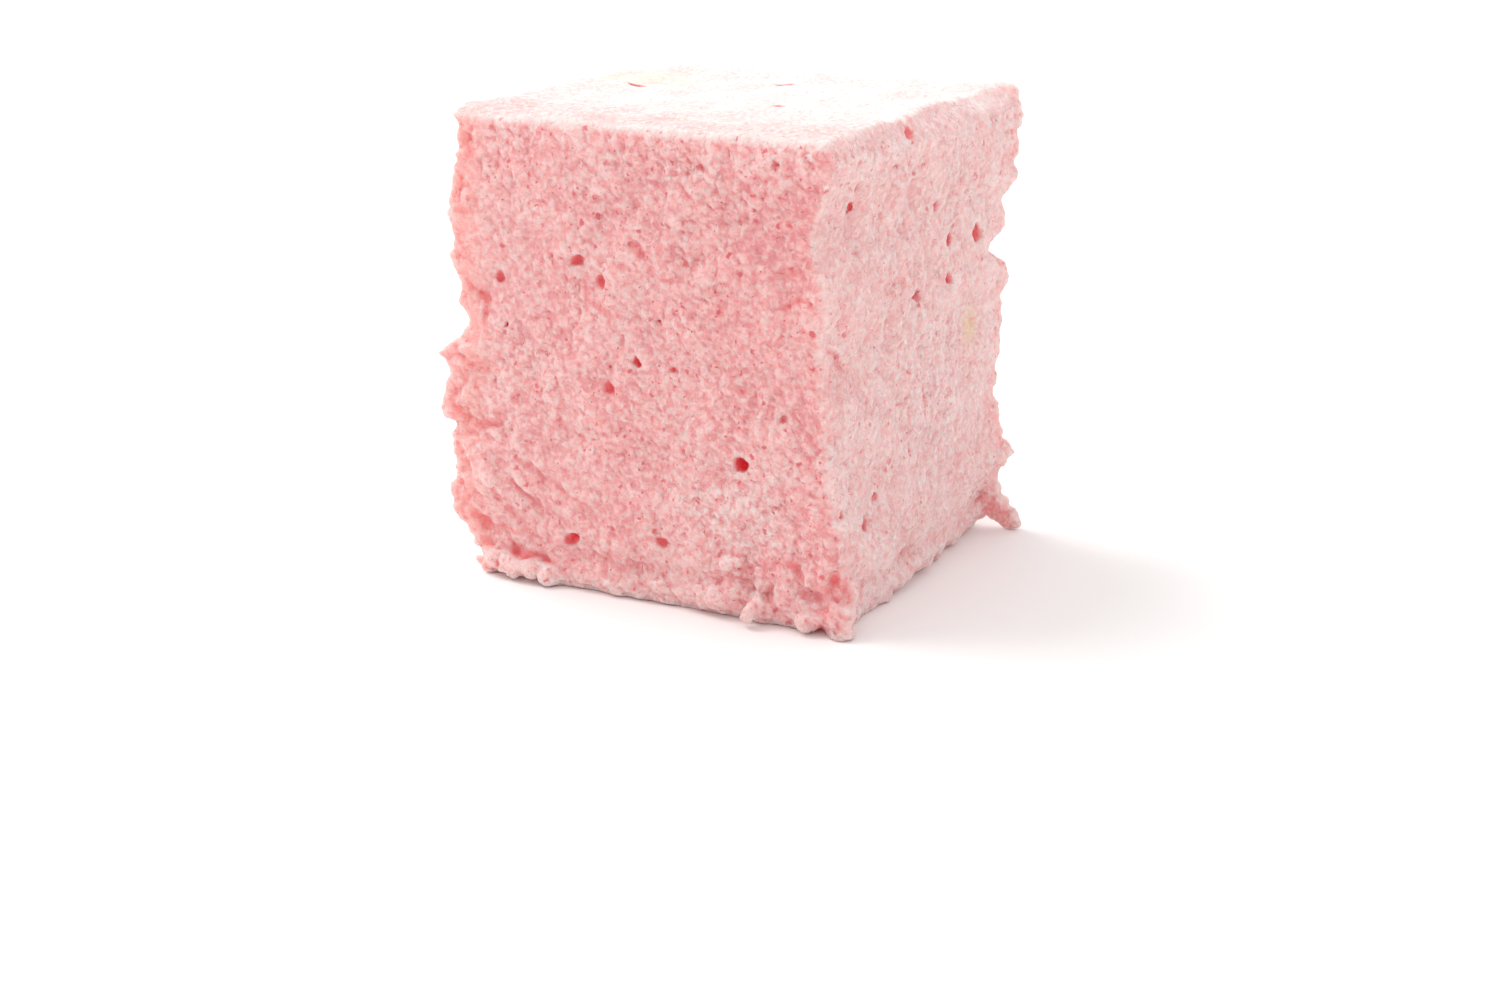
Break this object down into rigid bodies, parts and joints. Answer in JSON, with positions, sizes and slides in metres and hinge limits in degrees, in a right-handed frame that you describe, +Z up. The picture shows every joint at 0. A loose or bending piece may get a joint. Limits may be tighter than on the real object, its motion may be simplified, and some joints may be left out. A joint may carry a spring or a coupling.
{
  "type": "marshmallow",
  "caption": "Home-made pink marshmallow, a soft cube cut from a slab, with a level top and base, knife-cut sides, burst air bubbles and torn crumbs along its foot",
  "frame": {"origin": "middle of the flat base, on the surface that the marshmallow stands on", "axes": "+Z up out of the top, -Y out of the broad front cut face, +X out of the right cut face"},
  "size_m": [0.0346, 0.0306, 0.0354],
  "materials": {
    "marshmallow_foam": "set sugar foam, matte and translucent, strawberry pink with a pale dusting of starch"
  },
  "bodies": {
    "root": {"marshmallow": "marshmallow_foam"}
  },
  "joints": []
}
